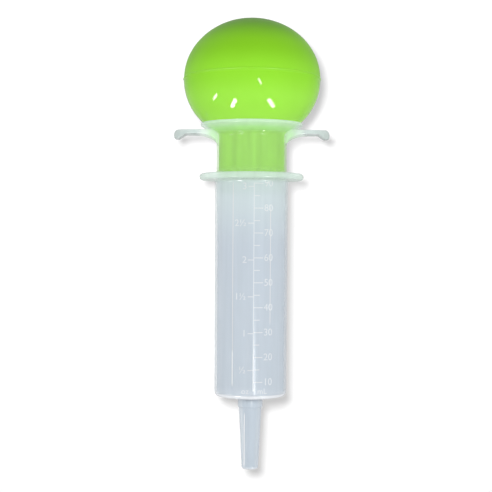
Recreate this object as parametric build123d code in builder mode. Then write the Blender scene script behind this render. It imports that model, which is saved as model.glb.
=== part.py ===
"""Bulb irrigation syringe: a soft bulb in a winged grip collar, plugged into a graduated barrel.

Frame: the axis of the syringe is Z, with the mouth of the tip at the origin and the bulb above it.
The finger wings reach out along X, and the scale faces -Y. Millimetres.
"""
from build123d import *
import os
from math import cos, degrees, pi, radians, sin

os.makedirs("parts", exist_ok=True)

# Heights above the mouth of the tip
SHOULDER_Z = 30.1
BOTTOM_Z = 35.3
FLANGE_TOP_Z = 143.1
EQUATOR_Z = 188.7

# Catheter tip
TIP_BORE_R = 2.2
TIP_BORE_LENGTH = 12.0
TIP_MOUTH_R = 4.0
TIP_SHOULDER_R = 5.5
TIP_BASE_R = 6.0
TIP_END_ROUND = 1.5
TIP_FUNNEL_R = 4.3

# Barrel
BORE_R = 16.45
BORE_LOW_R = 16.2
BORE_STRAIGHT = 14.0
BARREL_LOW_R = 17.4
BARREL_HIGH_R = 17.7
BOTTOM_WALL = 1.5
BOTTOM_ROUND = 2.6
FLANGE_R = 25.25
FLANGE_THICK = 3.2
FLANGE_ROUND = 1.4
FLANGE_ROOT_ROUND = 1.8

# Scale moulded on the barrel
MARK_RELIEF = 0.2
MARK_ROOT = 0.05
MARK_LINE = 0.36
SCALE_TURN_DEG = 4.0
FIRST_MARK_ML = 10
LAST_MARK_ML = 90
FIRST_MARK_Z = 43.7
MINOR_TICK = 2.9
MAJOR_TICK = 4.4
OUNCE_TICK = 2.7
ML_PER_HALF_OUNCE = 14.787
HALF_OUNCES = 6
SPINE_LOW_Z = 39.5
SPINE_HIGH_Z = 138.0

# Grip collar
FIT = 0.05
SEAT_GAP = 0.1
PLUG_DEPTH = 9.0
PLUG_BORE_R = 15.0
SLEEVE_R = 17.0
SLEEVE_BORE_R = 15.95
SLEEVE_STEP = 1.2
CUP_ROOT_Z = 161.3
CUP_WALL = 1.1
CUP_EDGE = 1.4
CUP_R = 24.8
CUP_TOP_Z = 167.6
WING_SPAN = 75.8
WING_TOP_Z = 164.1
WING_THICK = 2.1
WING_LIP = 4.3
WING_LIP_WIDTH = 2.7
WING_END_DRAFT = 0.4
WING_FLAT = 5.8
WING_END_R = 6.5
WING_ROOT_R = 13.0
WING_EDGE = 0.6
GUSSET_X = 10.1
GUSSET_Z = 4.7

# Bulb
BULB_R = 33.2
BULB_UP = 29.8
BULB_DOWN = 30.0
BULB_WALL = 2.2
NECK_R = SLEEVE_BORE_R - FIT
NECK_WALL = 2.0
NECK_END_GAP = 0.2
NECK_FLARE_Z = 162.6
RIM_Z = 168.3
CROWN_GAP = 0.1

FLANGE_LOW_Z = FLANGE_TOP_Z - FLANGE_THICK
FLOOR_Z = BOTTOM_Z + BOTTOM_WALL


def ellipse_r(z, semi_r, semi_z):
    """Radius at height z of an ellipse centred on the axis at the bulb's equator."""
    return semi_r * (1 - ((z - EQUATOR_Z) / semi_z) ** 2) ** 0.5


# The barrel is one moulding: tube, flange and catheter tip, with its bore open from end to end.
barrel_outline = [
    ((TIP_BORE_R, 0), 0),
    ((TIP_MOUTH_R, 0), TIP_END_ROUND),
    ((TIP_SHOULDER_R, SHOULDER_Z), 0),
    ((TIP_BASE_R, SHOULDER_Z), 0.35),
    ((TIP_BASE_R, BOTTOM_Z), 0.8),
    ((BARREL_LOW_R, BOTTOM_Z), BOTTOM_ROUND),
    ((BARREL_HIGH_R, FLANGE_LOW_Z), FLANGE_ROOT_ROUND),
    ((FLANGE_R, FLANGE_LOW_Z), FLANGE_ROUND),
    ((FLANGE_R, FLANGE_TOP_Z), FLANGE_ROUND),
    ((BORE_R, FLANGE_TOP_Z), 0.3),
    ((BORE_R, FLANGE_TOP_Z - BORE_STRAIGHT), 0),
    ((BORE_LOW_R, FLOOR_Z), 2.0),
    ((TIP_FUNNEL_R, FLOOR_Z), 0.8),
    ((TIP_BORE_R, TIP_BORE_LENGTH), 0),
]
with BuildPart() as barrel:
    with BuildSketch(Plane.XZ):
        with BuildLine():
            FilletPolyline(
                [point for point, _ in barrel_outline],
                radius=[corner for _, corner in barrel_outline],
                close=True,
            )
        make_face()
    revolve(axis=Axis.Z)
barrel.part.label = "barrel"
export_step(barrel.part, "parts/barrel.step")


def barrel_r(z):
    """Outside radius of the tapered barrel at height z."""
    share = (z - BOTTOM_Z) / (FLANGE_LOW_Z - BOTTOM_Z)
    return BARREL_LOW_R + (BARREL_HIGH_R - BARREL_LOW_R) * share


def tick_height(millilitres):
    """Height of the mark for a volume, from the bore's area."""
    return FIRST_MARK_Z + (millilitres - FIRST_MARK_ML) * 1000 / (pi * BORE_R**2)


# Each mark is (low end, high end, distance round the barrel from the spine, length round the barrel).
# Millilitres are ticked to the right of the spine and half ounces to its left.
marks = [(SPINE_LOW_Z, SPINE_HIGH_Z, -MARK_LINE / 2, MARK_LINE)]
for volume in range(FIRST_MARK_ML, LAST_MARK_ML + 1, 5):
    tick_z = tick_height(volume)
    tick_length = MINOR_TICK if volume % 10 else MAJOR_TICK
    marks.append((tick_z - MARK_LINE / 2, tick_z + MARK_LINE / 2, 0, tick_length))
for half_ounces in range(1, HALF_OUNCES + 1):
    tick_z = tick_height(half_ounces * ML_PER_HALF_OUNCE)
    marks.append((tick_z - MARK_LINE / 2, tick_z + MARK_LINE / 2, -OUNCE_TICK, OUNCE_TICK))

with BuildPart() as graduation_scale:
    for low_z, high_z, start, length in marks:
        low_r = barrel_r(low_z)
        high_r = barrel_r(high_z)
        turn = radians(SCALE_TURN_DEG - 90) + start / low_r
        toward = (cos(turn), sin(turn), 0)
        across = (sin(turn), -cos(turn), 0)
        with BuildSketch(Plane(origin=(0, 0, 0), x_dir=toward, z_dir=across)):
            with BuildLine():
                Polyline(
                    (low_r - MARK_ROOT, low_z),
                    (low_r + MARK_RELIEF, low_z),
                    (high_r + MARK_RELIEF, high_z),
                    (high_r - MARK_ROOT, high_z),
                    close=True,
                )
            make_face()
        revolve(axis=Axis.Z, revolution_arc=degrees(length / low_r))
graduation_scale.part.label = "graduation_scale"
export_step(graduation_scale.part, "parts/graduation_scale.step")

# The grip collar is one moulding: a plug for the barrel, a sleeve for the bulb's neck,
# a shallow cup that the bulb sits in, and two curved finger wings.
seat_z = FLANGE_TOP_Z + SEAT_GAP
step_z = seat_z + SLEEVE_STEP
collar_outline = [
    ((PLUG_BORE_R, FLANGE_TOP_Z - PLUG_DEPTH), 0),
    ((BORE_R - FIT, FLANGE_TOP_Z - PLUG_DEPTH), 0.5),
    ((BORE_R - FIT, seat_z), 0),
    ((SLEEVE_R, seat_z), 0.2),
    ((SLEEVE_R, CUP_ROOT_Z), 1.5),
    ((CUP_R, CUP_TOP_Z - CUP_EDGE), 0.5),
    ((CUP_R, CUP_TOP_Z), 0.5),
    ((CUP_R - 1.3, CUP_TOP_Z), 0.4),
    ((CUP_R - 1.6, CUP_TOP_Z - 0.9), 0.8),
    ((SLEEVE_BORE_R, CUP_ROOT_Z + CUP_WALL), 2.4),
    ((SLEEVE_BORE_R, step_z), 0),
    ((PLUG_BORE_R, step_z), 0),
]
half_span = WING_SPAN / 2
wing_under_z = WING_TOP_Z - WING_THICK
gusset_low_z = wing_under_z - GUSSET_Z
mid_sleeve_r = (SLEEVE_R + SLEEVE_BORE_R) / 2
with BuildPart() as grip_collar:
    with BuildSketch(Plane.XZ):
        with BuildLine():
            FilletPolyline(
                (0, WING_TOP_Z),
                (half_span, WING_TOP_Z),
                (half_span - WING_END_DRAFT, WING_TOP_Z - WING_LIP),
                (half_span - WING_LIP_WIDTH, WING_TOP_Z - WING_LIP),
                (half_span - WING_FLAT, wing_under_z),
                (SLEEVE_R + GUSSET_X, wing_under_z),
                radius=[2.4, 1.0, 0.8, 3.0],
            )
            EllipticalCenterArc(
                (SLEEVE_R + GUSSET_X, gusset_low_z), GUSSET_X, GUSSET_Z, start_angle=90, arc_size=90
            )
            Polyline((SLEEVE_R, gusset_low_z), (0, gusset_low_z), (0, WING_TOP_Z))
        make_face()
        mirror(about=Plane.YZ)
    extrude(amount=WING_ROOT_R, both=True)
    with BuildSketch(Plane.XY.offset(gusset_low_z - WING_LIP)):
        with Locations((half_span - WING_END_R, 0), (WING_END_R - half_span, 0)):
            Circle(WING_END_R)
        Circle(WING_ROOT_R)
        make_hull()
    extrude(amount=4 * WING_LIP, mode=Mode.INTERSECT)
    fillet(grip_collar.edges(), radius=WING_EDGE)
    with BuildSketch(Plane.XZ):
        with BuildLine():
            Polyline(
                (0, gusset_low_z),
                (mid_sleeve_r, gusset_low_z),
                (mid_sleeve_r, CUP_ROOT_Z + CUP_WALL / 2),
                (CUP_R, CUP_TOP_Z - CUP_EDGE / 2),
                (0, CUP_TOP_Z),
                close=True,
            )
        make_face()
    revolve(axis=Axis.Z, mode=Mode.SUBTRACT)
    with BuildSketch(Plane.XZ):
        with BuildLine():
            FilletPolyline(
                [point for point, _ in collar_outline],
                radius=[corner for _, corner in collar_outline],
                close=True,
            )
        make_face()
    revolve(axis=Axis.Z)
grip_collar.part.label = "grip_collar"
export_step(grip_collar.part, "parts/grip_collar.step")

# The bulb is one soft moulding. Its three zones are separate solids because they move differently:
# the neck stays in the sleeve, the crown is pushed down, and the skirt between them folds.
step_top_z = step_z + NECK_END_GAP
neck_in_r = NECK_R - NECK_WALL
inner_r = BULB_R - BULB_WALL
inner_up = BULB_UP - BULB_WALL
inner_down = BULB_DOWN - BULB_WALL
rim_out_r = ellipse_r(RIM_Z, BULB_R, BULB_DOWN)
rim_in_r = ellipse_r(RIM_Z, inner_r, inner_down)
neck_outline = [
    ((neck_in_r, step_top_z), 0.4),
    ((NECK_R, step_top_z), 0.6),
    ((NECK_R, NECK_FLARE_Z), 2.0),
    ((rim_out_r, RIM_Z), 0),
    ((rim_in_r, RIM_Z), 0),
    ((neck_in_r, NECK_FLARE_Z + NECK_WALL / 2), 2.0),
]
with BuildPart() as bulb_neck:
    with BuildSketch(Plane.XZ):
        with BuildLine():
            FilletPolyline(
                [point for point, _ in neck_outline],
                radius=[corner for _, corner in neck_outline],
                close=True,
            )
        make_face()
    revolve(axis=Axis.Z)
bulb_neck.part.label = "bulb_neck"
export_step(bulb_neck.part, "parts/bulb_neck.step")

with BuildPart() as bulb_skirt:
    with BuildSketch(Plane.XZ):
        with Locations((0, EQUATOR_Z)):
            Ellipse(BULB_R, BULB_DOWN)
            Ellipse(inner_r, inner_down, mode=Mode.SUBTRACT)
        with Locations((0, RIM_Z)):
            skirt_height = EQUATOR_Z - CROWN_GAP - RIM_Z
            Rectangle(BULB_R, skirt_height, align=Align.MIN, mode=Mode.INTERSECT)
    revolve(axis=Axis.Z)
bulb_skirt.part.label = "bulb_skirt"
export_step(bulb_skirt.part, "parts/bulb_skirt.step")

with BuildPart() as bulb_crown:
    with BuildSketch(Plane.XZ):
        with BuildLine():
            outside = EllipticalCenterArc((0, EQUATOR_Z), BULB_R, BULB_UP, arc_size=90)
            inside = EllipticalCenterArc((0, EQUATOR_Z), inner_r, inner_up, arc_size=90)
            Line(outside @ 0, inside @ 0)
            Line(outside @ 1, inside @ 1)
        make_face()
    revolve(axis=Axis.Z, revolution_arc=180)
    mirror(about=Plane.XZ)
bulb_crown.part.label = "bulb_crown"
export_step(bulb_crown.part, "parts/bulb_crown.step")
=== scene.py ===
"""Looks for the bulb irrigation syringe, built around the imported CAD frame.

The syringe lies on a white table and the camera looks straight down on it. The table is a plane behind
the axis of the frame and parallel to it, just clear of the back of the bulb.
Everything is in metres. X runs along the finger wings, -Y faces the camera and Z is the axis.
"""
import math

import bpy
from mathutils import Matrix, Vector, noise


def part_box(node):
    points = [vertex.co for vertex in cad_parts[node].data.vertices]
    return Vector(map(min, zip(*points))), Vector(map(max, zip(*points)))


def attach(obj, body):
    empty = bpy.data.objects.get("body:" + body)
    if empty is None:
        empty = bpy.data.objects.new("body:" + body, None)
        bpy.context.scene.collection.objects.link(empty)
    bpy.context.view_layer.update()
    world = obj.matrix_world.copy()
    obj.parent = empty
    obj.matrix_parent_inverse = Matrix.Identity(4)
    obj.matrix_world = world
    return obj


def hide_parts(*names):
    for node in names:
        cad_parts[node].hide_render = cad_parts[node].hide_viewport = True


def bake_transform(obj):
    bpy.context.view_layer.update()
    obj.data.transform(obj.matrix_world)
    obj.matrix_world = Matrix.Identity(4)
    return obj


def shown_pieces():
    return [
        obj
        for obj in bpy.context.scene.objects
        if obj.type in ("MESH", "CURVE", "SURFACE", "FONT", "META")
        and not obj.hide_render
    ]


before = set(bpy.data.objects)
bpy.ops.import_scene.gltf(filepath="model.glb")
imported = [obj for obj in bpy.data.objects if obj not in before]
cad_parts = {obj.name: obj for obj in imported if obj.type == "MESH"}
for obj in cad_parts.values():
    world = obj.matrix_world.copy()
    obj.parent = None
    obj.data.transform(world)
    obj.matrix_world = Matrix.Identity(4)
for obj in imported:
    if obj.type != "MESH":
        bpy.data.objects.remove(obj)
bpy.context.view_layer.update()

# In metres and cubic metres
MM = 0.001
MILLILITRE = 1e-6

# Places read from the frame
crown_low, crown_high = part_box("bulb_crown")
EQUATOR_Z = crown_low.z
TOP_Z = crown_high.z
BULB_R = crown_high.x
RIM_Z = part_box("bulb_skirt")[0].z
NECK_END_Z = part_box("bulb_neck")[0].z
FLANGE_TOP_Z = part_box("barrel")[1].z

# The bulb and its neck, as the CAD has them
BULB_UP = TOP_Z - EQUATOR_Z
BULB_DOWN = 30.0 * MM
BULB_WALL = 2.2 * MM
NECK_R = 15.9 * MM
NECK_WALL = 2.0 * MM
NECK_FLARE_Z = 162.6 * MM
NECK_CORNERS = [2.0 * MM, 0.7 * MM, 0.5 * MM]

# The rings of the bulb's skin, at angles up from the equator. They are close at the parting line
SEGMENTS = 160
ABOVE_SEAM = math.radians(6.0)
SEAM_HIGH = math.radians(2.4)
SEAM_LOW = math.radians(-2.24)
BELOW_SEAM = math.radians(-2.6)
CROWN_STEPS = 28
SEAM_STEPS = 29
SKIRT_STEPS = 22
INNER_SKIRT_STEPS = 14
INNER_CROWN_STEPS = 17

# The parting line of the bulb: a fine raised ridge that sits a little crooked, with the wall set in above it
SEAM_RIDGE = 0.27 * MM
SEAM_WIDTH = 0.38 * MM
SEAM_STEP = 0.14 * MM
SEAM_STEP_REACH = 9 * MM
SEAM_CANT = 1.6 * MM
SEAM_CANT_REACH = 14 * MM

# How uneven the soft wall is, and how far above the rim that starts
UNEVEN = 0.10 * MM
UNEVEN_SCALE = 55.0
UNEVEN_FROM_RIM = 4 * MM

# The barrel, as the CAD has it
BARREL_LOW_R = 17.4 * MM
BARREL_HIGH_R = 17.7 * MM
BARREL_BOTTOM_Z = 35.3 * MM
BORE_R = 16.45 * MM
FLANGE_LOW_Z = FLANGE_TOP_Z - 3.2 * MM

# The scale on it: a spine, with millilitres to its right and ounces to its left. Marks are in millilitres
FIRST_MARK = 10
LAST_MARK = 90
FIRST_MARK_Z = 43.7 * MM
HALF_OUNCE = 14.787
SCALE_TURN = math.radians(4.0)
NUMERAL_HEIGHT = 3.4 * MM
OUNCE_HEIGHT = NUMERAL_HEIGHT * 0.95
UNIT_HEIGHT = NUMERAL_HEIGHT * 0.8
NUMERAL_RELIEF = 0.16 * MM
NUMERAL_LIFT = NUMERAL_RELIEF * 0.3
NUMERAL_BEVEL = 0.03 * MM
CAPITAL_SHARE = 0.72
MILLILITRE_GAP = 4.9 * MM
OUNCE_GAP = 3.3 * MM
UNIT_GAP = 2.0 * MM
UNIT_DROP = 4.4 * MM

# Hair-fine light lines along the barrel and the tip, painted reflections of strip lights, faint and bright:
# x, lowest z, highest z
FAINT_PAINTED_REFLECTIONS = [(-8.7 * MM, 42 * MM, 139 * MM), (9.1 * MM, 70 * MM, 128 * MM)]
BRIGHT_PAINTED_REFLECTIONS = [(-8.7 * MM, 41 * MM, 59 * MM), (-2.8 * MM, 1 * MM, 28 * MM)]
LINE_HALF_WIDTH = 0.06 * MM
LINE_SOFT = 0.18 * MM
LINE_END = 2 * MM


# ---------------------------------------------------------------- mesh helpers
def new_object(name, vertices, faces, smooth=True):
    mesh = bpy.data.meshes.new(name)
    mesh.from_pydata([tuple(v) for v in vertices], [], faces)
    mesh.validate()
    mesh.polygons.foreach_set("use_smooth", [smooth] * len(mesh.polygons))
    mesh.update()
    made = bpy.data.objects.new(name, mesh)
    bpy.context.scene.collection.objects.link(made)
    return made


def lathe(name, profile, segments, warp):
    """Turns a (radius, z) profile about Z and warps its points. Points on the axis become poles."""
    vertices = []
    rings = []
    for radius, z in profile:
        if radius == 0.0:
            rings.append([len(vertices)] * segments)
            vertices.append((0.0, 0.0, z))
            continue
        rings.append(list(range(len(vertices), len(vertices) + segments)))
        for i in range(segments):
            turn = 2 * math.pi * i / segments
            vertices.append(warp(Vector((radius * math.cos(turn), radius * math.sin(turn), z))))
    faces = []
    for upper, lower in zip(rings, rings[1:]):
        for i in range(segments):
            j = (i + 1) % segments
            faces.append(list(dict.fromkeys([upper[i], lower[i], lower[j], upper[j]])))
    return new_object(name, vertices, faces)


def spread(first, last, steps):
    """Evenly spaced values from first to last, with both ends."""
    return [first + (last - first) * i / steps for i in range(steps + 1)]


def rounded(points, radii, steps=6):
    """A polyline of (r, z) points with its corners replaced by arcs."""
    out = [points[0]]
    for before, corner, after, radius in zip(points, points[1:], points[2:], radii):
        a, c, b = Vector(before), Vector(corner), Vector(after)
        to_a, to_b = (a - c).normalized(), (b - c).normalized()
        half = to_a.angle(to_b) / 2
        reach = radius / math.tan(half)
        start, end = c + to_a * reach, c + to_b * reach
        middle = c + (to_a + to_b).normalized() * (radius / math.sin(half))
        first, last = start - middle, end - middle
        sweep = first.angle(last)
        for share in spread(0.0, 1.0, steps):
            p = (first * math.sin((1 - share) * sweep) + last * math.sin(share * sweep)) / math.sin(sweep)
            out.append(tuple(middle + p))
    out.append(points[-1])
    return out


# ---------------------------------------------------------------- bulb
def oval(radius, rise, angles):
    """Points of the bulb's outline at angles up from the equator."""
    return [(radius * math.cos(angle), EQUATOR_Z + rise * math.sin(angle)) for angle in angles]


def make_bulb():
    """One continuous skin for the crown, the skirt and the neck, outside and inside."""
    inner_r = BULB_R - BULB_WALL
    inner_up = BULB_UP - BULB_WALL
    inner_down = BULB_DOWN - BULB_WALL
    rim_depth = EQUATOR_Z - RIM_Z
    crown = spread(math.pi / 2, ABOVE_SEAM, CROWN_STEPS)
    seam = spread(SEAM_HIGH, SEAM_LOW, SEAM_STEPS)
    skirt = spread(BELOW_SEAM, -math.asin(rim_depth / BULB_DOWN), SKIRT_STEPS)
    inner_skirt = spread(-math.asin(rim_depth / inner_down), 0.0, INNER_SKIRT_STEPS)
    inner_crown = spread(0.0, math.pi / 2, INNER_CROWN_STEPS)[1:]

    outline = oval(BULB_R, BULB_UP, crown + seam) + oval(BULB_R, BULB_DOWN, skirt)
    outline[0] = (0.0, TOP_Z)
    neck = [
        outline[-1],
        (NECK_R, NECK_FLARE_Z),
        (NECK_R, NECK_END_Z),
        (NECK_R - NECK_WALL, NECK_END_Z),
        (NECK_R - NECK_WALL, NECK_FLARE_Z + NECK_WALL / 2),
    ]
    outline += rounded(neck, NECK_CORNERS)[1:]
    outline += oval(inner_r, inner_down, inner_skirt) + oval(inner_r, inner_up, inner_crown)
    outline[-1] = (0.0, EQUATOR_Z + inner_up)
    # Squared distance from the centre, which is 1 on the inner skin of the crown and over 1.1 on the outer
    between_skins = 1.06

    def warp(point):
        """Tips the parting line, raises its ridge and gives the soft wall a slight unevenness."""
        height = point.z - EQUATOR_Z
        far_out = (math.hypot(point.x, point.y) / inner_r) ** 2 + (height / inner_up) ** 2
        if far_out < between_skins or point.z <= RIM_Z:
            return point
        ridge = SEAM_RIDGE * math.exp(-((height / SEAM_WIDTH) ** 2))
        step = -SEAM_STEP * math.exp(-height / SEAM_STEP_REACH) if height > 0 else 0.0
        fade = min(1.0, (point.z - RIM_Z) / UNEVEN_FROM_RIM)
        uneven = UNEVEN * noise.noise(point * UNEVEN_SCALE) * fade
        point = point + Vector((point.x, point.y, height)).normalized() * (ridge + step + uneven)
        point.z -= point.y / BULB_R * SEAM_CANT * math.exp(-((height / SEAM_CANT_REACH) ** 2))
        return point

    return lathe("bulb_skin", outline, SEGMENTS, warp)


bulb = make_bulb()
# The bulb bends, so its material reads where each point lies at rest
REST_PLACE = "rest_place"
rest_place = bulb.data.attributes.new(REST_PLACE, "FLOAT_VECTOR", "POINT")
rest_place.data.foreach_set("vector", [number for vertex in bulb.data.vertices for number in vertex.co])


# ---------------------------------------------------------------- numerals of the scale
def barrel_r(z):
    share = (z - BARREL_BOTTOM_Z) / (FLANGE_LOW_Z - BARREL_BOTTOM_Z)
    return BARREL_LOW_R + (BARREL_HIGH_R - BARREL_LOW_R) * share


def mark_z(millilitres):
    """The height to which the bore holds so much."""
    return FIRST_MARK_Z + (millilitres - FIRST_MARK) * MILLILITRE / (math.pi * BORE_R**2)


SPINE_X = barrel_r(FIRST_MARK_Z) * SCALE_TURN


def numeral(text, x, z, height, align):
    """Points and faces of a raised text with its left or right edge at x, bent round the barrel at z."""
    curve = bpy.data.curves.new("numeral", "FONT")
    curve.body = text
    curve.size = height / CAPITAL_SHARE
    curve.align_x = align
    curve.align_y = "CENTER"
    curve.extrude = NUMERAL_RELIEF / 2
    curve.bevel_depth = NUMERAL_BEVEL
    curve.offset = -NUMERAL_BEVEL
    made = bpy.data.objects.new("numeral", curve)
    bpy.context.scene.collection.objects.link(made)
    bpy.context.view_layer.update()
    mesh = bpy.data.meshes.new_from_object(made.evaluated_get(bpy.context.evaluated_depsgraph_get()))
    points = []
    for vertex in mesh.vertices:
        place_z = z + vertex.co.y
        radius = barrel_r(place_z) + vertex.co.z + NUMERAL_LIFT
        turn = (x + vertex.co.x) / barrel_r(place_z)
        points.append((radius * math.sin(turn), -radius * math.cos(turn), place_z))
    faces = [tuple(polygon.vertices) for polygon in mesh.polygons]
    bpy.data.objects.remove(made)
    bpy.data.curves.remove(curve)
    bpy.data.meshes.remove(mesh)
    return points, faces


def make_numerals():
    labels = []
    for millilitres in range(FIRST_MARK, LAST_MARK + 1, 10):
        place = mark_z(millilitres)
        labels.append((str(millilitres), SPINE_X + MILLILITRE_GAP, place, NUMERAL_HEIGHT, "LEFT"))
    ounces = ["½", "1", "1½", "2", "2½", "3"]
    for i, text in enumerate(ounces, start=1):
        place = mark_z(i * HALF_OUNCE)
        labels.append((text, SPINE_X - OUNCE_GAP, place, OUNCE_HEIGHT, "RIGHT"))
    unit_z = FIRST_MARK_Z - UNIT_DROP
    labels.append(("mL", SPINE_X + UNIT_GAP, unit_z, UNIT_HEIGHT, "LEFT"))
    labels.append(("oz", SPINE_X - UNIT_GAP, unit_z, UNIT_HEIGHT, "RIGHT"))
    vertices = []
    faces = []
    for label in labels:
        points, polygons = numeral(*label)
        start = len(vertices)
        vertices += points
        faces += [[start + i for i in polygon] for polygon in polygons]
    return new_object("scale_numerals", vertices, faces, smooth=False)


numerals = make_numerals()


# ---------------------------------------------------------------- materials
def grey(level):
    return (level, level, level)


class Look:
    """One material: a Principled shader, and the few kinds of node that feed it."""

    def __init__(self, name):
        self.material = bpy.data.materials.new(name)
        self.material.use_nodes = True
        self.nodes = self.material.node_tree.nodes
        self.links = self.material.node_tree.links
        self.nodes.clear()
        self.out = self.nodes.new("ShaderNodeOutputMaterial")
        self.shader = self.nodes.new("ShaderNodeBsdfPrincipled")
        self.links.new(self.shader.outputs["BSDF"], self.out.inputs["Surface"])

    def set(self, name, value):
        """Sets a socket of the shader to one value all over, or links it to another socket."""
        self.feed(self.shader.inputs[name], value)

    def feed(self, socket, value):
        if isinstance(value, bpy.types.NodeSocket):
            self.links.new(value, socket)
        else:
            socket.default_value = value

    def calculate(self, operation, first, second=0.0):
        made = self.nodes.new("ShaderNodeMath")
        made.operation = operation
        self.feed(made.inputs[0], first)
        self.feed(made.inputs[1], second)
        return made.outputs["Value"]

    def mix(self, factor, first, second, blend="MIX"):
        """The first colour where the factor is 0, and the second where it is 1."""
        made = self.nodes.new("ShaderNodeMix")
        made.data_type = "RGBA"
        made.blend_type = blend
        for name, value in (("Factor", factor), ("A", first), ("B", second)):
            self.feed(made.inputs[name], (*value, 1) if isinstance(value, tuple) else value)
        return made.outputs["Result"]

    def ramp(self, value, low, high, from_low=0.3, from_high=0.7):
        """Runs straight from low to high as the value goes from from_low to from_high."""
        made = self.nodes.new("ShaderNodeMapRange")
        made.inputs["From Min"].default_value = from_low
        made.inputs["From Max"].default_value = from_high
        made.inputs["To Min"].default_value = low
        made.inputs["To Max"].default_value = high
        self.links.new(value, made.inputs["Value"])
        return made.outputs["Result"]

    def stops(self, value, points):
        """A smooth run of colours: points are (value, colour)."""
        made = self.nodes.new("ShaderNodeValToRGB")
        made.color_ramp.interpolation = "EASE"
        elements = made.color_ramp.elements
        elements.remove(elements[1])
        low, high = points[0][0], points[-1][0]
        elements[0].color = (*points[0][1], 1)
        for place, colour in points[1:]:
            elements.new((place - low) / (high - low)).color = (*colour, 1)
        self.links.new(self.ramp(value, 0.0, 1.0, low, high), made.inputs["Fac"])
        return made.outputs["Color"]

    def near(self, value, middle, half_width, soft):
        """1 within half_width of the middle, falling to 0 over the soft distance."""
        away = self.calculate("ABSOLUTE", self.calculate("SUBTRACT", value, middle))
        return self.ramp(away, 1.0, 0.0, half_width, half_width + soft)

    def split(self, place):
        made = self.nodes.new("ShaderNodeSeparateXYZ")
        self.links.new(place, made.inputs["Vector"])
        return made.outputs

    def from_axis(self, place):
        """Distance from the Z axis."""
        flat = self.nodes.new("ShaderNodeVectorMath")
        flat.operation = "MULTIPLY"
        flat.inputs[1].default_value = (1, 1, 0)
        self.links.new(place, flat.inputs[0])
        length = self.nodes.new("ShaderNodeVectorMath")
        length.operation = "LENGTH"
        self.links.new(flat.outputs["Vector"], length.inputs[0])
        return length.outputs["Value"]

    def texture(self, place, scale, detail=3.0):
        made = self.nodes.new("ShaderNodeTexNoise")
        made.inputs["Scale"].default_value = scale
        made.inputs["Detail"].default_value = detail
        self.links.new(place, made.inputs["Vector"])
        return made.outputs["Fac"]

    def streaks(self, place, scale, along, detail=3.0):
        """Noise drawn out along Z: the smaller along is, the longer the streaks."""
        stretch = self.nodes.new("ShaderNodeMapping")
        stretch.inputs["Scale"].default_value = (1.0, 1.0, along)
        self.links.new(place, stretch.inputs["Vector"])
        return self.texture(stretch.outputs["Vector"], scale, detail)

    def bump(self, height, strength, distance):
        made = self.nodes.new("ShaderNodeBump")
        made.inputs["Strength"].default_value = strength
        made.inputs["Distance"].default_value = distance
        self.links.new(height, made.inputs["Height"])
        self.set("Normal", made.outputs["Normal"])

    def on(self, *things):
        for thing in things:
            thing.data.materials.clear()
            thing.data.materials.append(self.material)


def polypropylene(name, roughness, solidity, tint):
    """Natural polypropylene: milky, with flow streaks along the moulding and a satin skin.

    solidity(look, place) and tint(look, place) say how milky it is and what colour.
    """
    look = Look(name)
    place = look.nodes.new("ShaderNodeTexCoord").outputs["Object"]
    streak = look.mix(look.streaks(place, 330.0, along=0.06), grey(0.88), grey(1.08))
    look.set("Base Color", look.mix(1.0, tint(look, place), streak, "MULTIPLY"))
    look.set("Roughness", look.ramp(look.texture(place, 70.0), roughness * 0.8, roughness * 1.25))
    look.set("Alpha", solidity(look, place))
    look.set("IOR", 1.49)
    look.bump(look.texture(place, 1400.0, detail=2.0), strength=0.02, distance=0.4 * MM)
    return look


def flow_lines(look, place, lines):
    """1 on the painted reflection lines and 0 beside them."""
    x, _, z = look.split(place)
    mask = 0.0
    for line_x, low_z, high_z in lines:
        across = look.near(x, line_x, LINE_HALF_WIDTH, LINE_SOFT)
        along = look.near(z, (low_z + high_z) / 2, (high_z - low_z) / 2 - LINE_END, LINE_END)
        mask = look.calculate("MAXIMUM", mask, look.calculate("MULTIPLY", across, along))
    return mask


def barrel_tint(look, place):
    """Bluish grey, whiter in the thick bottom, partly for its milkier plastic and partly as a painted
    highlight, white at the tip's rim as a painted highlight, whiter in the painted reflection lines, and
    green where light from the bulb reaches the flange."""
    blue = (0.565, 0.645, 0.725)
    white = (0.93, 0.96, 1.0)
    # White at the tip's rim is a painted highlight; white at the bottom is partly milky thick plastic,
    # partly a painted highlight
    points = [
        (0.0, white),
        (1.2 * MM, blue),
        (BARREL_BOTTOM_Z - 0.6 * MM, blue),
        (BARREL_BOTTOM_Z, white),
        (BARREL_BOTTOM_Z + 1.3 * MM, white),
        (BARREL_BOTTOM_Z + 2.2 * MM, blue),
        (105 * MM, blue),
        (FLANGE_LOW_Z - 1.4 * MM, (0.65, 0.765, 0.785)),
        (FLANGE_LOW_Z + 0.6 * MM, (0.64, 0.81, 0.71)),
    ]
    plain = look.stops(look.split(place)["Z"], points)
    # Painted reflections: whiter lines along the barrel and the tip
    faint = look.mix(flow_lines(look, place, FAINT_PAINTED_REFLECTIONS), plain, grey(0.76))
    return look.mix(flow_lines(look, place, BRIGHT_PAINTED_REFLECTIONS), faint, grey(0.86))


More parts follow.
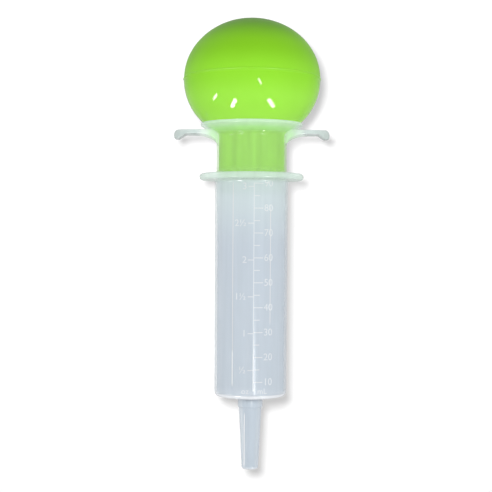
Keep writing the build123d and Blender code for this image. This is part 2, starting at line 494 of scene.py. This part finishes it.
def barrel_solidity(look, place):
    """The bottom, the flange and the tip are thick for their size, so they look milkier than the wall. A
    band at the bottom is made more solid still, partly for that and partly as a painted highlight; the tip's
    rim is made more solid as a painted highlight, and so are the painted reflection lines.
    """
    tip = grey(0.53)
    wall = grey(0.41)
    points = [
        (0.0, tip),
        (7.0 * MM, tip),
        (9.0 * MM, wall),
        (BARREL_HIGH_R + 0.1 * MM, wall),
        (BARREL_HIGH_R + 1.8 * MM, grey(0.56)),
    ]
    plain = look.stops(look.from_axis(place), points)
    # The painted reflection lines are made more solid, so they show whiter
    faint = look.mix(flow_lines(look, place, FAINT_PAINTED_REFLECTIONS), plain, grey(0.45))
    lined = look.mix(flow_lines(look, place, BRIGHT_PAINTED_REFLECTIONS), faint, grey(0.75))
    z = look.split(place)["Z"]
    # Painted highlight: a band at the bottom and the tip's rim are made nearly solid, so they show white
    bottom = look.near(z, BARREL_BOTTOM_Z + 0.6 * MM, 0.6 * MM, 0.8 * MM)
    rim = look.near(z, 0.0, 0.6 * MM, 0.8 * MM)
    return look.mix(look.calculate("MAXIMUM", bottom, rim), lined, grey(0.85))


# Distances from the axis at which the collar's sleeve ends, its cup widens and its wings begin
SLEEVE_EDGE_R = 17.2 * MM
CUP_MIDDLE_R = 20.5 * MM
CUP_EDGE_R = 24.5 * MM
WING_ROOT_R = 27.0 * MM
WING_END_R = 38.0 * MM


def collar_tint(look, place):
    """Light from the bulb colours the sleeve and the cup; the wings are plain."""
    points = [
        (SLEEVE_EDGE_R, (0.40, 0.745, 0.21)),
        (CUP_MIDDLE_R, (0.54, 1.0, 0.45)),
        (CUP_EDGE_R, (0.72, 0.95, 0.77)),
        (WING_ROOT_R, (0.58, 0.69, 0.65)),
        (WING_END_R, (0.51, 0.59, 0.565)),
    ]
    return look.stops(look.from_axis(place), points)


def collar_solidity(look, place):
    """The sleeve lies on the neck and is clear there; the foot, the cup and the wings are milkier. The plug
    in the barrel is clearest."""
    points = [
        (SLEEVE_EDGE_R, grey(0.33)),
        (CUP_MIDDLE_R, grey(0.41)),
        (CUP_EDGE_R, grey(0.44)),
        (WING_ROOT_R + 1.0 * MM, grey(0.74)),
    ]
    plain = look.stops(look.from_axis(place), points)
    z = look.split(place)["Z"]
    foot = look.near(z, FLANGE_TOP_Z + 1.1 * MM, 0.4 * MM, 2.2 * MM)
    plug = look.ramp(z, 1.0, 0.0, FLANGE_TOP_Z - 2.0 * MM, FLANGE_TOP_Z)
    return look.mix(plug, look.mix(foot, plain, grey(0.45)), grey(0.05))


def mark_tint(look, place):
    """White, with a trace of blue low down and a trace of green high up, the green painted light from the
    bulb.
    """
    points = [(0.0, (0.93, 0.96, 0.99)), (150 * MM, (0.93, 0.97, 0.98))]
    return look.stops(look.split(place)["Z"], points)


def mark_solidity(look, place):
    """Faint, but for the lower end of the spine, which is made more solid and so whiter: a painted highlight
    on the real spine.
    """
    x, _, z = look.split(place)
    spine = look.near(x, SPINE_X, 0.2 * MM, 0.05 * MM)
    # Painted highlight: the spine's lower end is made more solid, so it shows whiter
    low = look.ramp(z, 1.0, 0.0, 55.5 * MM, 58 * MM)
    return look.ramp(look.calculate("MULTIPLY", spine, low), 0.34, 0.75, 0.0, 1.0)


def vinyl():
    """Soft green vinyl: satin above the parting line and glossier below it, streaked inside the sleeve. Its
    green is painted darker towards the top as painted shade, and lighter low down as painted light.
    """
    look = Look("green_vinyl")
    rest = look.nodes.new("ShaderNodeAttribute")
    rest.attribute_name = REST_PLACE
    place = rest.outputs["Vector"]
    z = look.split(place)["Z"]
    # Painted shade and light: the green darkens towards the top and is lightest low down near the neck, for
    # how the lamps fall on the bulb
    points = [
        (139 * MM, (0.30, 0.70, 0.060)),
        (163 * MM, (0.345, 0.76, 0.075)),
        (176 * MM, (0.315, 0.73, 0.060)),
        (EQUATOR_Z, (0.255, 0.64, 0.027)),
        (203 * MM, (0.195, 0.51, 0.009)),
        (TOP_Z, (0.092, 0.28, 0.001)),
    ]
    cloud = look.mix(look.texture(place, 42.0), grey(0.93), grey(1.05))
    clouded = look.mix(1.0, look.stops(z, points), cloud, "MULTIPLY")
    drawn = look.ramp(look.streaks(place, 300.0, along=0.03, detail=5.0), 0.80, 1.12, 0.35, 0.65)
    streaked = look.mix(1.0, clouded, drawn, "MULTIPLY")
    in_sleeve = look.ramp(z, 1.0, 0.0, 161 * MM, 164 * MM)
    look.set("Base Color", look.mix(in_sleeve, clouded, streaked))
    look.set("Roughness", look.ramp(z, 0.02, 0.36, EQUATOR_Z - 0.6 * MM, EQUATOR_Z + 0.6 * MM))
    look.set("IOR", 1.45)
    look.set("Specular IOR Level", 0.22)
    look.set("Subsurface Weight", 0.12)
    look.set("Subsurface Radius", (0.4, 1.0, 0.2))
    look.set("Subsurface Scale", 2.0 * MM)
    look.bump(look.texture(place, 1700.0, detail=2.0), strength=0.005, distance=0.3 * MM)
    return look


mark_plastic = polypropylene("mark_plastic", 0.45, mark_solidity, mark_tint)
polypropylene("barrel_plastic", 0.15, barrel_solidity, barrel_tint).on(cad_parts["barrel"])
polypropylene("collar_plastic", 0.17, collar_solidity, collar_tint).on(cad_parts["grip_collar"])
mark_plastic.on(numerals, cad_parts["graduation_scale"])
vinyl().on(bulb)

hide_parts("bulb_crown", "bulb_skirt", "bulb_neck")
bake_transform(bulb)
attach(numerals, "barrel")
# The pieces neither tint the table nor darken it by bounced light
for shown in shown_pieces():
    shown.visible_diffuse = False


# ---------------------------------------------------------------- table, light and camera
CAMERA_DISTANCE = 0.631
CAMERA_X = -2.5 * MM
CAMERA_Z = 108.1 * MM
CAMERA_ROLL = math.radians(0.35)
CAMERA_LENS = 95.1
SENSOR_WIDTH = 36.0
LIGHTS_AIM = Vector((0, 0, 120 * MM))
TABLE_SIZE = 3.0
TABLE_GAP = 0.3 * MM
TABLE_WHITE = 0.955
SURROUND = 0.575

# The key is a soft light beside the camera, so that the shadow shows by the same small width all along
KEY_LEFT = 50 * MM
KEY_UP = 58 * MM
KEY_SIZE = 80 * MM
KEY_POWER = 2.52

# The fill grazes the table from the right and lifts the right-hand sides of the syringe
FILL_FROM = (0.99, -0.14, 0.0)
FILL_DISTANCE = 0.9
FILL_WIDTH = 0.3
FILL_HEIGHT = 0.9
FILL_POWER = 1.6

# The panels that glint on the bulb: direction from its centre, width, height, radiance, roll in degrees
PANEL_DISTANCE = 1.0
PANELS = {
    "panel_low_left": ((-0.452, -0.444, -0.774), 0.09, 0.34, 62.0, -46),
    "panel_low_right": ((0.47, -0.456, -0.756), 0.09, 0.34, 58.0, 56),
    "panel_far_left": ((-0.832, -0.226, -0.507), 0.05, 0.24, 45.0, -62),
    "panel_front": ((0.217, -0.941, -0.259), 0.035, 0.17, 48.0, 35),
}


def make_table():
    """The white table under the syringe. Seen from behind it vanishes, so it never hides the syringe, and
    reflections leave it out, which keeps the bulb's edges green."""
    half = TABLE_SIZE / 2
    y = BULB_R + TABLE_GAP
    corners = [(-half, y, -half), (half, y, -half), (half, y, half), (-half, y, half)]
    made = new_object("table", corners, [(0, 1, 2, 3)], smooth=False)
    look = Look("table_white")
    look.set("Base Color", (*grey(TABLE_WHITE), 1))
    look.set("Roughness", 0.9)
    look.set("Specular IOR Level", 0.0)
    side = look.nodes.new("ShaderNodeNewGeometry")
    clear = look.nodes.new("ShaderNodeBsdfTransparent")
    choose = look.nodes.new("ShaderNodeMixShader")
    look.links.new(side.outputs["Backfacing"], choose.inputs["Fac"])
    look.links.new(look.shader.outputs["BSDF"], choose.inputs[1])
    look.links.new(clear.outputs["BSDF"], choose.inputs[2])
    look.links.new(choose.outputs["Shader"], look.out.inputs["Surface"])
    look.on(made)
    made.visible_glossy = False


def area_light(name, at, direction, distance, width, height, power):
    """A rectangular light that faces the place from that direction."""
    lamp = bpy.data.lights.new(name, "AREA")
    lamp.shape = "RECTANGLE"
    lamp.size = width
    lamp.size_y = height
    lamp.energy = power
    made = bpy.data.objects.new(name, lamp)
    bpy.context.scene.collection.objects.link(made)
    away = Vector(direction).normalized()
    made.location = at + away * distance
    made.rotation_euler = (-away).to_track_quat("-Z", "Y").to_euler()
    return made


def make_lights():
    key_from = Vector((CAMERA_X - KEY_LEFT, -CAMERA_DISTANCE, CAMERA_Z + KEY_UP)) - LIGHTS_AIM
    key = area_light("key", LIGHTS_AIM, key_from, key_from.length, KEY_SIZE, KEY_SIZE, KEY_POWER)
    fill = area_light("fill", LIGHTS_AIM, FILL_FROM, FILL_DISTANCE, FILL_WIDTH, FILL_HEIGHT, FILL_POWER)
    for lamp in (key, fill):
        lamp.visible_glossy = False
    bulb_centre = Vector((0, 0, EQUATOR_Z))
    for name, (direction, width, height, radiance, roll) in PANELS.items():
        power = radiance * math.pi * width * height
        panel = area_light(name, bulb_centre, direction, PANEL_DISTANCE, width, height, power)
        panel.rotation_euler.rotate_axis("Z", math.radians(roll))
        panel.visible_diffuse = False


def make_world():
    """An even grey-white surround."""
    made = bpy.data.worlds.new("studio")
    bpy.context.scene.world = made
    made.use_nodes = True
    surround = made.node_tree.nodes["Background"]
    surround.inputs["Color"].default_value = (1, 1, 1, 1)
    surround.inputs["Strength"].default_value = SURROUND


def make_camera():
    """Looks along +Y, square to the axis, and is rolled a little as in the photo."""
    camera = bpy.data.cameras.new("camera")
    camera.sensor_width = SENSOR_WIDTH
    camera.lens = CAMERA_LENS
    camera.clip_start = 0.01
    camera.clip_end = 20.0
    made = bpy.data.objects.new("camera", camera)
    bpy.context.scene.collection.objects.link(made)
    turn = Matrix.Rotation(math.radians(90), 4, "X") @ Matrix.Rotation(CAMERA_ROLL, 4, "Z")
    made.matrix_world = Matrix.Translation((CAMERA_X, -CAMERA_DISTANCE, CAMERA_Z)) @ turn
    bpy.context.scene.camera = made


make_table()
make_lights()
make_world()
make_camera()
bpy.context.scene.view_settings.view_transform = "Standard"
bpy.context.scene.view_settings.look = "None"
